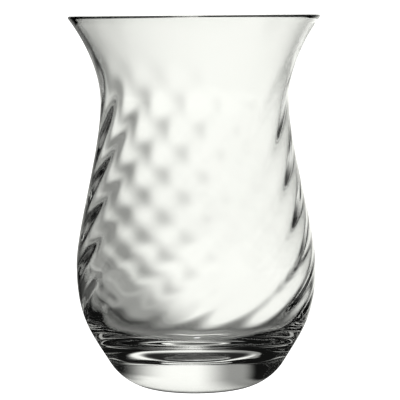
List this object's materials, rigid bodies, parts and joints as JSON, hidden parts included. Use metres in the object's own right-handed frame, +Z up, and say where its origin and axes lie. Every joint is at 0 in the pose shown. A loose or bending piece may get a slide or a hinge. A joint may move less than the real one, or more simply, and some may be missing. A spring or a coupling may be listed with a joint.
{
  "type": "tea glass",
  "caption": "Small empty waisted tea glass of clear glass, with a round belly, a flared rim, a thick foot and shallow spiral ribs inside its wall.",
  "frame": {"origin": "middle of the foot, on the surface that the glass stands on", "axes": "+Z up along the glass's axis, -Y towards the viewer, +X to the viewer's right"},
  "size_m": [0.061, 0.061, 0.0905],
  "materials": {
    "clear_glass": "clear and polished"
  },
  "bodies": {
    "root": {"tea_glass": "clear_glass"}
  },
  "joints": []
}
